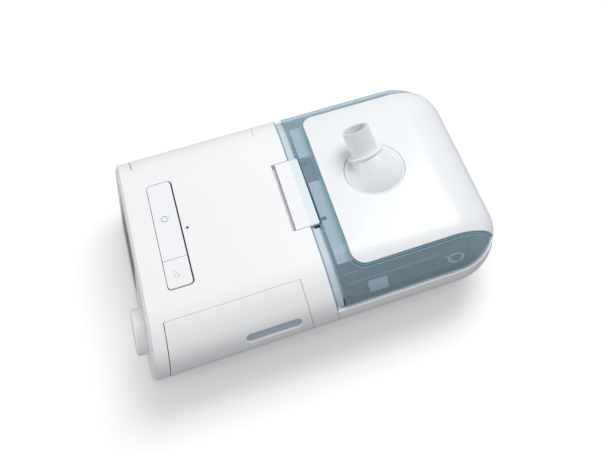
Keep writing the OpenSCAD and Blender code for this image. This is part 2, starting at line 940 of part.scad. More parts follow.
module feet(at) {
    for (p = at) translate([p[0], p[1], 0]) {
        cylinder(r1 = foot_r - 0.8, r2 = foot_r, h = 0.8);
        translate([0, 0, 0.8]) cylinder(r = foot_r, h = foot_h + foot_sink - 0.8);
    }
}

module unit_feet() {
    color("dimgray") feet(unit_feet_at);
}

// ---- humidifier -------------------------------------------------------------------------

hum_feet_at = [for (m = [-1, 1]) each [[m * foot_x, joint_y + 20], [m * (foot_x - 4), half_l - 44.5]]];
hum_screws_at = [[-screw_x + 2, joint_y + 38], [screw_x - 2, joint_y + 38], [0, half_l - 29.5]];

// Space for the lid's end wall and its knuckles in the base
module end_cut() {
    span([-hinge_half - ear_gap, hinge_y - 12, end_cut_z], [hinge_half + ear_gap, far, far]);
}

// One ear that carries a hinge pin
module hinge_ear() {
    intersection() {
        union() {
            translate([hinge_half + ear_gap, hinge_y, hinge_z]) rotate([0, 90, 0])
                cylinder(r = knuckle_r, h = ear_t);
            span([hinge_half + ear_gap, hinge_y - knuckle_r, foot_h + 1],
                [hinge_half + ear_gap + ear_t, far, hinge_z]);
        }
        body_form(1, 0);
    }
}

// Upper wall between the two units, with a flange that lies under the front rim of the lid
module bulkhead() {
    intersection() {
        bar_form(bulk_out, hum_y, hum_y + bulk_t);
        span([-far, 0, hum_floor_z], [far, far, far]);
    }
    intersection() {
        difference() {
            bar_form(bulk_out, hum_y, hum_y + strip_w);
            bar_form(bulk_out + flange_t, hum_y - 1, hum_y + strip_w + 1);
        }
        span([-far, 0, rail_z - 3], [far, far, far]);
    }
}

module humidifier_base() {
    color("whitesmoke") difference() {
        union() {
            difference() {
                intersection() {
                    body_form(0, hum_y);
                    span([-far, hum_y, 0], [far, far, rail_z]);
                }
                body_form(hum_wall, hum_y + bulk_t);
                end_cut();
            }
            bulkhead();
            for (m = [0, 1]) mirror([m, 0, 0]) hinge_ear();
            for (p = hum_screws_at) translate([p[0], p[1], foot_h])
                cylinder(r = screw_r + 2, h = hum_wall + 3);
        }
        span([-far, relief_y, rail_z - relief_d], [far, far, far]);
        span([latch_x - latch_half - 2, hum_y + bulk_t, latch_pz - 6],
            [latch_x + latch_half + 2, hum_y + strip_w + 1, far]);
        span([latch_x - 9, hum_y - 1, latch_pz - 5],
            [latch_x + 9, hum_y + bulk_t + 1, latch_pz + 0.5]);
        port_bore(port_r + 1.5, joint_y, hum_y + strip_w + 1);
        span([dock_x[0] + 1 - seam, joint_y, dock_z[0] + 1 - seam],
            [dock_x[1] - 1 + seam, hum_y + bulk_t + 1, dock_z[1] - 1 + seam]);
        for (m = [0, 1]) mirror([m, 0, 0]) hinge_pin(hinge_pin_r);
        for (p = hum_screws_at) translate([p[0], p[1], 0]) {
            cylinder(r = screw_r, h = 20);
            cylinder(r = screw_head_r + 0.2, h = foot_h + screw_head_t + 0.2);
        }
        for (p = hum_feet_at) translate([p[0], p[1], 0])
            cylinder(r = foot_r + 0.1, h = foot_h + foot_sink);
    }
}

module hinge_pin(r) {
    translate([hinge_half - hinge_pin_l, hinge_y, hinge_z]) rotate([0, 90, 0])
        cylinder(r = r, h = hinge_pin_l + ear_gap + ear_t - 1);
}

module hinge_pins() {
    color("silver") for (m = [0, 1]) mirror([m, 0, 0]) hinge_pin(hinge_pin_r);
}

module at_plate(z) {
    translate([0, (tank_y + tank_end_y) / 2, z]) children();
}

module heater_plate() {
    color("silver") at_plate(heater_z) cylinder(r = plate_r, h = heater_t);
}

module heater_pad() {
    color("black") at_plate(pad_z) cylinder(r = plate_r - 2, h = heater_z - pad_z);
}

module heater_springs() {
    color("silver") for (a = [90, 210, 330]) at_plate(hum_floor_z)
        rotate([0, 0, a]) translate([plate_r - 12, 0, 0]) tube(4, 3, pad_z - hum_floor_z);
}

module heater_connector() {
    color("black") {
        span([dock_x[0] + 1, hum_y, dock_z[0] + 1],
            [dock_x[1] - 1, hum_y + bulk_t + 3, dock_z[1] - 1]);
        span([dock_x[0] + 4, hum_y + bulk_t + 0.5, hum_floor_z],
            [dock_x[1] - 4, hum_y + bulk_t + 3, dock_z[0] + 1]);
    }
}

// Rounded box of the tank between two heights, inset by t
module tank_box(t, z0, z1) {
    round_span([-tank_half + t, tank_y + t, z0], [tank_half - t, tank_end_y - t, z1],
        tank_corner - t);
}

module tank_tub() {
    color("lightblue", 0.6) difference() {
        union() {
            tank_box(0, tank_low_z, tank_split_z);
            tank_box(-rim_out, tank_split_z - 2, tank_split_z);
        }
        tank_box(tank_wall, tank_low_z + tank_wall, tank_split_z + 1);
        at_plate(tank_low_z - 1) cylinder(r = tank_hole_r, h = tank_wall + 2);
    }
}

module tank_plate() {
    color("silver") at_plate(tank_low_z - 1) cylinder(r = tank_hole_r + 3, h = 1);
}

module tank_seal() {
    color("lightgray") difference() {
        tank_box(0.3 - rim_out, tank_split_z, tank_split_z + tank_seal_h);
        tank_box(tank_wall - 0.3, tank_split_z - 1, tank_split_z + tank_seal_h + 1);
    }
}

tank_lid_z = tank_split_z + tank_seal_h;
module tank_lid() {
    color("lightblue", 0.6) difference() {
        union() {
            tank_box(-rim_out, tank_lid_z, tank_lid_z + 2.5);
            tank_box(0, tank_lid_z, tank_top_z);
        }
        tank_box(tank_wall, tank_lid_z - 1, tank_top_z - tank_wall);
        translate(elbow_at + [0, 0, tank_top_z - tank_wall - 1])
            cylinder(r = tank_outlet_r, h = tank_wall + 2);
        port_bore(port_r, tank_y - 1, tank_y + tank_wall + 1);
    }
}

module inlet_seal() {
    color("lightgray") difference() {
        port_bore(port_r + 1.4, hum_y, tank_y);
        port_bore(port_r, hum_y - 1, tank_y + 1);
    }
}

module humidifier_feet() {
    color("dimgray") feet(hum_feet_at);
}

module base_screws() {
    color("silver") screws(hum_screws_at, foot_h + 5);
}

// ---- lid --------------------------------------------------------------------------------

// Wall of the lid between two insets: a cap above the rail and an end wall down to the hinge
module lid_skin(t0, t1, half, low_half) {
    difference() {
        intersection() {
            body_form(t0, lid_y);
            union() {
                span([-half, lid_y, lid_low_z], [half, far, far]);
                span([-low_half, hinge_y - 12, end_low_z], [low_half, far, lid_low_z + 1]);
            }
        }
        body_form(t1, lid_y - 10);
    }
}

// Hole of the lid in which the elbow's spigot turns
module spigot_hole(r) {
    translate(elbow_at + [0, 0, lid_in_z - 10]) cylinder(r = r, h = 30);
}

module lid_shell() {
    color("lightsteelblue", 0.6) difference() {
        union() {
            lid_skin(lid_out, lid_in, far, hinge_half);
            for (s = [-1, 1]) intersection() {
                union() {
                    translate([s * (hinge_half - knuckle_l / 2), hinge_y, hinge_z])
                        rotate([0, 90, 0]) cylinder(r = knuckle_r, h = knuckle_l, center = true);
                    translate([s * (hinge_half - knuckle_l / 2), hinge_y + over / 2, hinge_z])
                        cube([knuckle_l, over, 2 * knuckle_r - 0.4], center = true);
                }
                body_form(lid_out + 1, 0);
            }
            latch_sides() latch_ear();
        }
        span([latch_x - latch_half - notch_side, 0, lid_in_z - 1],
            [latch_x + latch_half + notch_side, lid_notch_y, far]);
        spigot_hole(spigot_r + run_gap);
        translate(elbow_at + [0, 0, disc_low_z - 0.1]) cylinder(r = disc_r + disc_gap, h = 10);
        for (m = [0, 1]) mirror([m, 0, 0]) hinge_pin(hinge_pin_r + run_gap);
        latch_bar(latch_pin_r, ear_in + arm_w);
    }
}

// Children at both ends of the latch, mirrored about its middle
module latch_sides() {
    for (m = [0, 1]) translate([latch_x, 0, 0]) mirror([m, 0, 0]) children();
}

// Bar along X through the latch pivot, l to each side
module latch_bar(r, l) {
    translate([latch_x - l, latch_py, latch_pz]) rotate([0, 90, 0]) cylinder(r = r, h = 2 * l);
}

// Ear under the lid that holds the latch pin
module latch_ear() {
    span([ear_in, latch_py - 2.4, latch_pz - 2.4],
        [ear_in + arm_w, lid_notch_y + 5, latch_pz + 2.4]);
    span([ear_in, lid_notch_y + 0.2, latch_pz],
        [ear_in + arm_w, lid_notch_y + 5, lid_in_z + 0.5]);
}

module lid_cover() {
    color("white") difference() {
        intersection() {
            lid_skin(-cover_out, lid_out, cover_half, hinge_half);
            round_span([-cover_half, cover_y, 0], [cover_half, far, far], cover_corner);
        }
        translate(elbow_at) cylinder(r = disc_r + disc_gap, h = far);
    }
}

module lid_inner_frame() {
    color("lightslategray") difference() {
        intersection() {
            span([-frame_half, lid_notch_y + 1, frame_in_z], [frame_half, frame_rear_y, far]);
            bar_form(lid_in + 0.05, 0, frame_rear_y + 6);
        }
        span([latch_x - latch_half - 1.1, lid_notch_y, 0], [latch_x - 8.1, cover_y - 0.5, far]);
        latch_sides() span([ear_in - 0.3, 0, 0], [ear_in + arm_w + 0.3, lid_notch_y + 5.3, far]);
        translate(elbow_at) cylinder(r = disc_r + 1.6, h = far);
    }
}

module outlet_seal() {
    color("lightgray") translate(elbow_at + [0, 0, tank_top_z + seam])
        tube(boss_r + 3, boss_r, lid_in_z - tank_top_z - seam);
}

module latch_tab() {
    color("white") difference() {
        union() {
            round_span([latch_x - latch_half, latch_y, top_z - latch_t],
                [latch_x + latch_half, latch_rear_y, top_z], 1);
            latch_sides() span([arm_x - arm_w, latch_py - 2, latch_pz - 2],
                [arm_x, latch_py + 1.8, top_z - 1]);
            span([latch_x - 8, latch_py - 2, latch_pz - 2.5],
                [latch_x + 8, latch_py - 1.4, top_z - 1]);
        }
        latch_bar(latch_pin_r + run_gap, far);
    }
}

module latch_pin() {
    color("silver") latch_bar(latch_pin_r, ear_in + arm_w);
}

module latch_spring() {
    color("silver") translate([latch_x - arm_x + arm_w + 1, latch_py, latch_pz])
        rotate([0, 90, 0]) tube(2.2, 1.5, 8);
}

// ---- elbow ------------------------------------------------------------------------------

// Frame of the outlet tube: its +Z runs along the tube, away from the elbow
module on_tube() {
    translate(elbow_at + [0, 0, bend_z]) rotate(tube_turn) rotate([0, -tube_lean, 0]) children();
}

// Slice k of the flare, from the disc at 0 to the collar at 1
flare_steps = 6;
flare_r0 = 23.6;
flare_r1 = collar_r - 1.5;
flare_s = tube_start + collar_l / 2;
flare_low_z = disc_top_z - 0.3;
flare_x = flare_s * sin(tube_lean);
flare_h = bend_z + flare_s * cos(tube_lean) - flare_low_z;
flare_bow = 3;
// Step left between the disc's edge and what stands on it, and how far up it is cut
collar_in = 0.1;
collar_over = 0.6;
module flare_slice(k) {
    u = k / flare_steps;
    r = flare_r1 + (flare_r0 - flare_r1) * (1 - u) * (1 - u);
    translate(elbow_at + [0, 0, flare_low_z]) rotate(tube_turn)
        translate([-u * u * flare_x, 0, u * (flare_h + flare_bow * (1 - u))])
            rotate([0, -tube_lean * u, 5]) cylinder(r = r, h = 0.3, $fn = 36);
}

// Half section of the tube with its collar
module tube_profile() {
    polygon([[0, tube_start], [collar_r, tube_start], [collar_r, tube_start + collar_l],
        [tube_r, tube_start + collar_l], [tube_r, tube_start + collar_l + tube_l],
        [0, tube_start + collar_l + tube_l]]);
}

module elbow() {
    color("white") difference() {
        union() {
            translate(elbow_at + [0, 0, disc_low_z]) cylinder(r = disc_r, h = disc_t);
            translate(elbow_at + [0, 0, spigot_low_z])
                cylinder(r = spigot_r, h = disc_low_z - spigot_low_z + 0.5);
            difference() {
                union() {
                    for (k = [0:flare_steps - 1]) hull() {
                        flare_slice(k);
                        flare_slice(k + 1);
                    }
                    on_tube() rotate_extrude() tube_profile();
                }
                span([-far, -far, -far], [far, far, disc_low_z + 0.2]);
                translate(elbow_at + [0, 0, disc_low_z])
                    tube(2 * disc_r, disc_r - collar_in, disc_t + collar_over);
            }
        }
        translate(elbow_at + [0, 0, spigot_low_z - 1]) cylinder(r = spigot_bore_r, h = 10);
        on_tube() translate([0, 0, 2]) cylinder(r = tube_bore_r - tube_step, h = far);
        on_tube() translate([0, 0, tube_start + collar_l]) cylinder(r = tube_bore_r, h = far);
    }
}

module elbow_clip() {
    color("lightgray") translate(elbow_at + [0, 0, clip_z]) tube(clip_r, spigot_r, clip_t);
}

top_shell();
bottom_case();
front_panel();
display_window();
display_module();
display_board();
dial_encoder();
dial_shaft();
dial_knob();
therapy_button();
ramp_button();
button_frame();
button_board();
therapy_button_springs();
ramp_button_springs();
light_sensor();
filter_door();
accessory_door();
door_pins();
filter_bay();
accessory_bay();
intake_filter();
card_reader();
memory_card();
blower_housing();
blower_cover();
impeller();
blower_motor();
blower_mounts();
outlet_duct();
main_board();
power_socket();
dock_connector();
case_screws();
unit_feet();
humidifier_base();
heater_plate();
heater_pad();
heater_springs();
heater_connector();
tank_tub();
tank_plate();
tank_seal();
tank_lid();
inlet_seal();
humidifier_feet();
base_screws();
hinge_pins();
lid_shell();
lid_cover();
lid_inner_frame();
outlet_seal();
latch_tab();
latch_pin();
latch_spring();
elbow();
elbow_clip();
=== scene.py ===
"""Looks of a bedside breathing therapy unit with its heated humidifier, on its CAD frame."""
import json
import math

import bmesh
import bpy
from mathutils import Euler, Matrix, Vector
from mathutils.bvhtree import BVHTree

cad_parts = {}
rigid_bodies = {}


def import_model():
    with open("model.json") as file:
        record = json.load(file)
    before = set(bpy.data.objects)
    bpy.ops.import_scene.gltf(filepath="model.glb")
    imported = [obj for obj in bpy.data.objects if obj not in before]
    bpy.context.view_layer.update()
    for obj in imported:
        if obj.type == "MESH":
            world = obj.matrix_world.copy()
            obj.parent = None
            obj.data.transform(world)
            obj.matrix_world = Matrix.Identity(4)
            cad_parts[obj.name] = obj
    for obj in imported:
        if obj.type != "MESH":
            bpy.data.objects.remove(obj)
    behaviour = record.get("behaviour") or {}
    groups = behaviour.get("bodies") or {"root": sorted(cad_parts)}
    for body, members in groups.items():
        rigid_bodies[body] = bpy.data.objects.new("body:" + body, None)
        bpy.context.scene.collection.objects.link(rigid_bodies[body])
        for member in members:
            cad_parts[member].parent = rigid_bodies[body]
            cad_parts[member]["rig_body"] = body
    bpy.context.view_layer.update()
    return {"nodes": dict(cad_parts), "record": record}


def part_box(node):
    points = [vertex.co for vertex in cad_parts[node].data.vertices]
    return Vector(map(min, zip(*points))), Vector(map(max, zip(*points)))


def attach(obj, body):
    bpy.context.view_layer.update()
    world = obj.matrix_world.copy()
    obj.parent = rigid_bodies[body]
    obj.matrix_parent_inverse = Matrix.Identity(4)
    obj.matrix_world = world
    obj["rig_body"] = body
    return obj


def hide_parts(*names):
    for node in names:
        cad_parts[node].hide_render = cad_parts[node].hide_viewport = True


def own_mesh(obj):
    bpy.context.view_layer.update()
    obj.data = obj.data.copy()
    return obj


bl_info = {
    "name": "Breathing therapy unit",
    "version": (1, 0, 0),
    "blender": (4, 5, 0),
    "location": "View3D > Sidebar > Therapy unit",
    "description": "Pieces, finishes and stage of a bedside breathing therapy unit",
    "category": "Object",
}

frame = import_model()
MM = 0.001
LID_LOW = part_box("lid_shell")[0]
FRONT_Y, RAIL_Z = LID_LOW.y, LID_LOW.z    # front edge and lowest edge of the clear lid
# the pale band is a lighter tint of the lid over the white flange: partly the flange seen
# through, partly painted highlight
PALE_BAND = 7.0    # depth of the pale band behind the front edge, in millimetres


# ---------------------------------------------------------------- colours and nodes

def linear(code):
    """Scene linear colour of an sRGB hex code."""
    parts = [int(code[i:i + 2], 16) / 255 for i in (1, 3, 5)]
    return tuple(p / 12.92 if p < 0.04045 else ((p + 0.055) / 1.055) ** 2.4 for p in parts) + (1,)


def add(tree, kind, links=None, **settings):
    """Adds one node. Settings name its attributes or inputs, links join inputs to sockets."""
    node = tree.nodes.new(kind)
    for name, value in settings.items():
        if hasattr(node, name):
            setattr(node, name, value)
        else:
            node.inputs[name.replace("_", " ")].default_value = value
    for name, socket in (links or {}).items():
        tree.links.new(socket, node.inputs[name])
    return node


def new_material(name):
    """An empty material with its output node."""
    material = bpy.data.materials.new(name)
    material.use_nodes = True
    material.node_tree.nodes.clear()
    output = material.node_tree.nodes.new("ShaderNodeOutputMaterial")
    return material, material.node_tree, output


def object_coords(tree):
    """Object coordinates in metres."""
    return add(tree, "ShaderNodeTexCoord").outputs["Object"]


def noise(tree, coords, size, detail=2.0):
    """Noise whose blobs are about size metres across."""
    return add(tree, "ShaderNodeTexNoise", {"Vector": coords}, Scale=1 / size, Detail=detail)


def between(tree, value, low, high):
    """Value 0.3 to 0.7 mapped to low to high."""
    node = add(tree, "ShaderNodeMapRange", {"Value": value}, From_Min=0.3, From_Max=0.7,
               To_Min=low, To_Max=high)
    return node.outputs["Result"]


def moulded(name, code, rough, grain, depth, shift=0.02, coat=0.0):
    """Injection moulded plastic: a fine grain in the surface and a faint change of tone."""
    material, tree, output = new_material(name)
    coords = object_coords(tree)
    fine = noise(tree, coords, grain)
    broad = noise(tree, coords, 0.06)
    ramp = add(tree, "ShaderNodeMix", {"Factor": broad.outputs["Fac"]}, data_type="RGBA")
    base = linear(code)
    ramp.inputs[6].default_value = tuple(c * (1 - shift) for c in base[:3]) + (1,)
    ramp.inputs[7].default_value = base
    bump = add(tree, "ShaderNodeBump", {"Height": fine.outputs["Fac"]}, Strength=0.6,
               Distance=depth)
    shader = add(tree, "ShaderNodeBsdfPrincipled", {
        "Base Color": ramp.outputs[2],
        "Roughness": between(tree, broad.outputs["Fac"], rough - 0.03, rough + 0.03),
        "Normal": bump.outputs["Normal"]})
    shader.inputs["Coat Weight"].default_value = coat
    shader.inputs["Coat Roughness"].default_value = 0.08
    tree.links.new(shader.outputs["BSDF"], output.inputs["Surface"])
    return material


def metal(name, code, rough, stretch=(1, 1, 1), brushed=0.00004, line=0.0004):
    """Metal with fine drawn or brushed lines along one axis."""
    material, tree, output = new_material(name)
    mapped = add(tree, "ShaderNodeMapping", {"Vector": object_coords(tree)})
    mapped.inputs["Scale"].default_value = stretch
    lines = noise(tree, mapped.outputs["Vector"], line, 3.0)
    bump = add(tree, "ShaderNodeBump", {"Height": lines.outputs["Fac"]}, Strength=0.5,
               Distance=brushed)
    shader = add(tree, "ShaderNodeBsdfPrincipled", {
        "Roughness": between(tree, lines.outputs["Fac"], rough - 0.06, rough + 0.08),
        "Normal": bump.outputs["Normal"]})
    shader.inputs["Base Color"].default_value = linear(code)
    shader.inputs["Metallic"].default_value = 1.0
    tree.links.new(shader.outputs["BSDF"], output.inputs["Surface"])
    return material


def clear(name, tint, body, body_share, edge_share, rough, bands=None):
    """Clear moulded plastic: light passes with a tint, and the walls show at their edges."""
    material, tree, output = new_material(name)
    coords = object_coords(tree)
    broad = noise(tree, coords, 0.03)
    facing = add(tree, "ShaderNodeLayerWeight", Blend=0.35)
    share = add(tree, "ShaderNodeMapRange", {"Value": facing.outputs["Facing"]},
                To_Min=body_share, To_Max=edge_share)
    passing = add(tree, "ShaderNodeBsdfTransparent", Color=linear(tint))
    shader = add(tree, "ShaderNodeBsdfPrincipled", {
        "Roughness": between(tree, broad.outputs["Fac"], rough, rough + 0.05)},
        Base_Color=linear(body))
    factor = share.outputs["Result"]
    if bands:
        pale, rim = bands
        blur, front_rim, low_rim = 0.0002, 0.0006, 0.0009
        thinned, rim_share = 0.9, 0.6
        # the pale band along the front edge, a lighter tint over the white flange that is partly
        # the flange seen through and partly painted highlight, then the deep colour of the cut
        # edges
        place = add(tree, "ShaderNodeSeparateXYZ", {"Vector": coords})
        in_band = add(tree, "ShaderNodeMapRange", {"Value": place.outputs["Y"]},
                      From_Min=FRONT_Y + PALE_BAND * MM - blur,
                      From_Max=FRONT_Y + PALE_BAND * MM, To_Min=1.0, To_Max=0.0)
        thin = add(tree, "ShaderNodeMath", {0: in_band.outputs["Result"]},
                   operation="MULTIPLY_ADD")
        thin.inputs[1].default_value = -thinned
        thin.inputs[2].default_value = 1.0
        less = add(tree, "ShaderNodeMath", {0: factor, 1: thin.outputs[0]}, operation="MULTIPLY")
        factor = less.outputs[0]
        tone = add(tree, "ShaderNodeMix", {"Factor": in_band.outputs["Result"]},
                   data_type="RGBA")
        tone.inputs[6].default_value = linear(tint)
        tone.inputs[7].default_value = linear(pale)
        tree.links.new(tone.outputs[2], passing.inputs["Color"])
        front = add(tree, "ShaderNodeMath", {0: place.outputs["Y"]}, operation="LESS_THAN")
        front.inputs[1].default_value = FRONT_Y + front_rim
        low = add(tree, "ShaderNodeMath", {0: place.outputs["Z"]}, operation="LESS_THAN")
        low.inputs[1].default_value = RAIL_Z + low_rim
        edge = add(tree, "ShaderNodeMath", {0: front.outputs[0], 1: low.outputs[0]},
                   operation="MAXIMUM")
        colour = add(tree, "ShaderNodeMix", {"Factor": edge.outputs[0]}, data_type="RGBA")
        colour.inputs[6].default_value = linear(body)
        colour.inputs[7].default_value = linear(rim)
        tree.links.new(colour.outputs[2], shader.inputs["Base Color"])
        more = add(tree, "ShaderNodeMath", {0: edge.outputs[0]}, operation="MULTIPLY")
        more.inputs[1].default_value = rim_share
        total = add(tree, "ShaderNodeMath", {0: factor, 1: more.outputs[0]}, operation="ADD",
                    use_clamp=True)
        factor = total.outputs[0]
    mix = add(tree, "ShaderNodeMixShader", {
        "Fac": factor, 1: passing.outputs["BSDF"], 2: shader.outputs["BSDF"]})
    tree.links.new(mix.outputs["Shader"], output.inputs["Surface"])
    return material


def printed_ink(name, code):
    """Matt printing ink with a faint unevenness."""
    material, tree, output = new_material(name)
    speck = noise(tree, object_coords(tree), 0.0002)
    tone = add(tree, "ShaderNodeMix", {"Factor": speck.outputs["Fac"]}, data_type="RGBA")
    base = linear(code)
    tone.inputs[6].default_value = tuple(c * 0.93 for c in base[:3]) + (1,)
    tone.inputs[7].default_value = base
    shader = add(tree, "ShaderNodeBsdfPrincipled", {"Base Color": tone.outputs[2]},
                 Roughness=0.55)
    tree.links.new(shader.outputs["BSDF"], output.inputs["Surface"])
    return material


def dark_window(name, code):
    """Smoked polished window over a display."""
    material, tree, output = new_material(name)
    broad = noise(tree, object_coords(tree), 0.02)
    shader = add(tree, "ShaderNodeBsdfPrincipled", {
        "Roughness": between(tree, broad.outputs["Fac"], 0.05, 0.1)}, Base_Color=linear(code))
    shader.inputs["Coat Weight"].default_value = 0.5
    tree.links.new(shader.outputs["BSDF"], output.inputs["Surface"])
    return material


def circuit_board(name):
    """Green board with a regular print of lighter tracks."""
    material, tree, output = new_material(name)
    coords = object_coords(tree)
    tracks = add(tree, "ShaderNodeTexBrick", {"Vector": coords}, Scale=120.0)
    tracks.inputs["Color1"].default_value = linear("#1E5B3C")
    tracks.inputs["Color2"].default_value = linear("#19503A")
    tracks.inputs["Mortar"].default_value = linear("#2F7A50")
    tracks.inputs["Mortar Size"].default_value = 0.03
    shader = add(tree, "ShaderNodeBsdfPrincipled", {"Base Color": tracks.outputs["Color"]},
                 Roughness=0.35)
    tree.links.new(shader.outputs["BSDF"], output.inputs["Surface"])
    return material


def fibre(name, code):
    """Felted filter fibre: tangled threads and shadowed gaps."""
    material, tree, output = new_material(name)
    coords = object_coords(tree)
    threads = add(tree, "ShaderNodeTexVoronoi", {"Vector": coords}, Scale=1500.0,
                  feature="DISTANCE_TO_EDGE")
    cloud = noise(tree, coords, 0.002, 5.0)
    tone = add(tree, "ShaderNodeMix", {"Factor": cloud.outputs["Fac"]}, data_type="RGBA")
    base = linear(code)
    tone.inputs[6].default_value = tuple(c * 0.75 for c in base[:3]) + (1,)
    tone.inputs[7].default_value = base
    bump = add(tree, "ShaderNodeBump", {"Height": threads.outputs["Distance"]}, Strength=0.8,
               Distance=0.0004)
    shader = add(tree, "ShaderNodeBsdfPrincipled", {
        "Base Color": tone.outputs[2], "Normal": bump.outputs["Normal"]}, Roughness=0.95)
    tree.links.new(shader.outputs["BSDF"], output.inputs["Surface"])
    return material


# ---------------------------------------------------------------- settings

class UnitColours(bpy.types.PropertyGroup):
    """Colours of the finishes, as sRGB hex codes."""
    shell: bpy.props.StringProperty(name="Shell", default="#F4F5F7",
                                    description="Satin white of the therapy unit")
    cover: bpy.props.StringProperty(name="Lid cover", default="#ECF0F3",
                                    description="Smooth white of the lid cover")
    button: bpy.props.StringProperty(name="Buttons", default="#F2F4F7",
                                     description="Matt white of the buttons and the latch")
    tint: bpy.props.StringProperty(name="Lid tint", default="#F5F9FB",
                                   description="Tint of the light through each face of the lid")
    start_symbol: bpy.props.StringProperty(name="Start symbol", default="#7E8CA0",
                                           description="Ink of the symbol on the long button")
    ramp_symbol: bpy.props.StringProperty(name="Ramp symbol", default="#A9BC3A",
                                          description="Ink of the symbol on the short button")


class SymbolSizes(bpy.types.PropertyGroup):
    """Sizes of the printed symbols."""
    ring: bpy.props.FloatProperty(name="Ring radius", default=2.6 * MM, unit="LENGTH",
                                  description="Radius of the start symbol's ring")
    line: bpy.props.FloatProperty(name="Line width", default=0.5 * MM, unit="LENGTH",
                                  description="Width of the symbols' lines")
    ramp: bpy.props.FloatProperty(name="Ramp length", default=6.6 * MM, unit="LENGTH",
                                  description="Length of the ramp symbol")
    ink: bpy.props.FloatProperty(name="Ink thickness", default=0.03 * MM, unit="LENGTH",
                                 description="Height of the ink above the button")


class StageSettings(bpy.types.PropertyGroup):
    """Light and camera."""
    bounce: bpy.props.FloatProperty(name="Floor bounce", default=0.4, subtype="FACTOR",
                                    description="Share of the light the floor gives back")
    sky: bpy.props.FloatProperty(name="Sky", default=0.5,
                                 description="Strength of the even light from all sides")
    key: bpy.props.FloatProperty(name="Key light", default=11.3, unit="POWER",
                                 description="Power of the large soft light above")
    front: bpy.props.FloatProperty(name="Front light", default=3.5, unit="POWER",
                                   description="Power of the weak light before the raked face")
    fill: bpy.props.FloatProperty(name="Floor glow", default=0.2,
                                  description="Extra white that only the camera sees")
    lens: bpy.props.FloatProperty(name="Lens", default=45.2, unit="CAMERA",
                                  description="Focal length of the camera in millimetres")


GROUPS = {"unit_colours": UnitColours, "symbol_sizes": SymbolSizes, "unit_stage": StageSettings}


# ---------------------------------------------------------------- meshes

def add_object(name, bm, body, material, replaced=(), smooth=40):
    """Turns a bmesh in metres into a piece that rides a body."""
    bmesh.ops.remove_doubles(bm, verts=bm.verts, dist=1e-7)
    bmesh.ops.recalc_face_normals(bm, faces=bm.faces)
    for face in bm.faces:
        face.smooth = True
    for edge in bm.edges:
        edge.smooth = len(edge.link_faces) == 2 and edge.calc_face_angle(0) < math.radians(smooth)
    mesh = bpy.data.meshes.new(name)
    bm.to_mesh(mesh)
    bm.free()
    mesh.materials.append(material)
    piece = bpy.data.objects.new(name, mesh)
    bpy.context.scene.collection.objects.link(piece)
    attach(piece, body)
    if replaced:
        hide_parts(*replaced)
    return piece


def strip(bm, points, width, low, high, closed=False):
    """A flat line of one width along points in a plane of constant height."""
    count = len(points)
    rows = []
    for i, point in enumerate(points):
        before = points[i - 1] if (i or closed) else point
        after = points[(i + 1) % count] if (i + 1 < count or closed) else point
        ahead = Vector((after[0] - before[0], after[1] - before[1]))
        side = Vector((-ahead.y, ahead.x)).normalized() * width / 2
        rows.append([bm.verts.new((point[0] + s * side.x, point[1] + s * side.y, z))
                     for s, z in ((1, low), (1, high), (-1, high), (-1, low))])
    pairs = list(zip(rows, rows[1:])) + ([(rows[-1], rows[0])] if closed else [])
    for a, b in pairs:
        for k in range(4):
            bm.faces.new((a[k], a[(k + 1) % 4], b[(k + 1) % 4], b[k]))
    if not closed:
        bm.faces.new(rows[0])
        bm.faces.new(rows[-1])


def node_group(name, sockets):
    """An empty geometry node tree with its input node. Sockets gives each input's type."""
    tree = bpy.data.node_groups.new(name, "GeometryNodeTree")
    for label, kind in sockets.items():
        tree.interface.new_socket(label, in_out="INPUT", socket_type="NodeSocket" + kind)
    tree.interface.new_socket("Geometry", in_out="OUTPUT", socket_type="NodeSocketGeometry")
    return tree, tree.nodes.new("NodeGroupInput")


def end_group(tree, mesh, material):
    """Makes the mesh whole, gives it its material and joins it to the tree's output."""
    whole = add(tree, "GeometryNodeRealizeInstances", {"Geometry": mesh})
    finish = add(tree, "GeometryNodeSetMaterial", {
        "Geometry": whole.outputs["Geometry"], "Material": material})
    end = tree.nodes.new("NodeGroupOutput")
    tree.links.new(finish.outputs["Geometry"], end.inputs["Geometry"])


def bead_tree():
    """Node tree that turns a line of edges into a round bead of one radius."""
    if "bead_along_line" in bpy.data.node_groups:
        return bpy.data.node_groups["bead_along_line"]
    tree, start = node_group("bead_along_line", {
        "Geometry": "Geometry", "Radius": "Float", "Sides": "Int", "Material": "Material"})
    line = add(tree, "GeometryNodeMeshToCurve", {"Mesh": start.outputs["Geometry"]})
    ring = add(tree, "GeometryNodeCurvePrimitiveCircle", {
        "Resolution": start.outputs["Sides"], "Radius": start.outputs["Radius"]})
    swept = add(tree, "GeometryNodeCurveToMesh", {
        "Curve": line.outputs["Curve"], "Profile Curve": ring.outputs["Curve"]})
    swept.inputs["Fill Caps"].default_value = True
    end_group(tree, swept.outputs["Mesh"], start.outputs["Material"])
    return tree


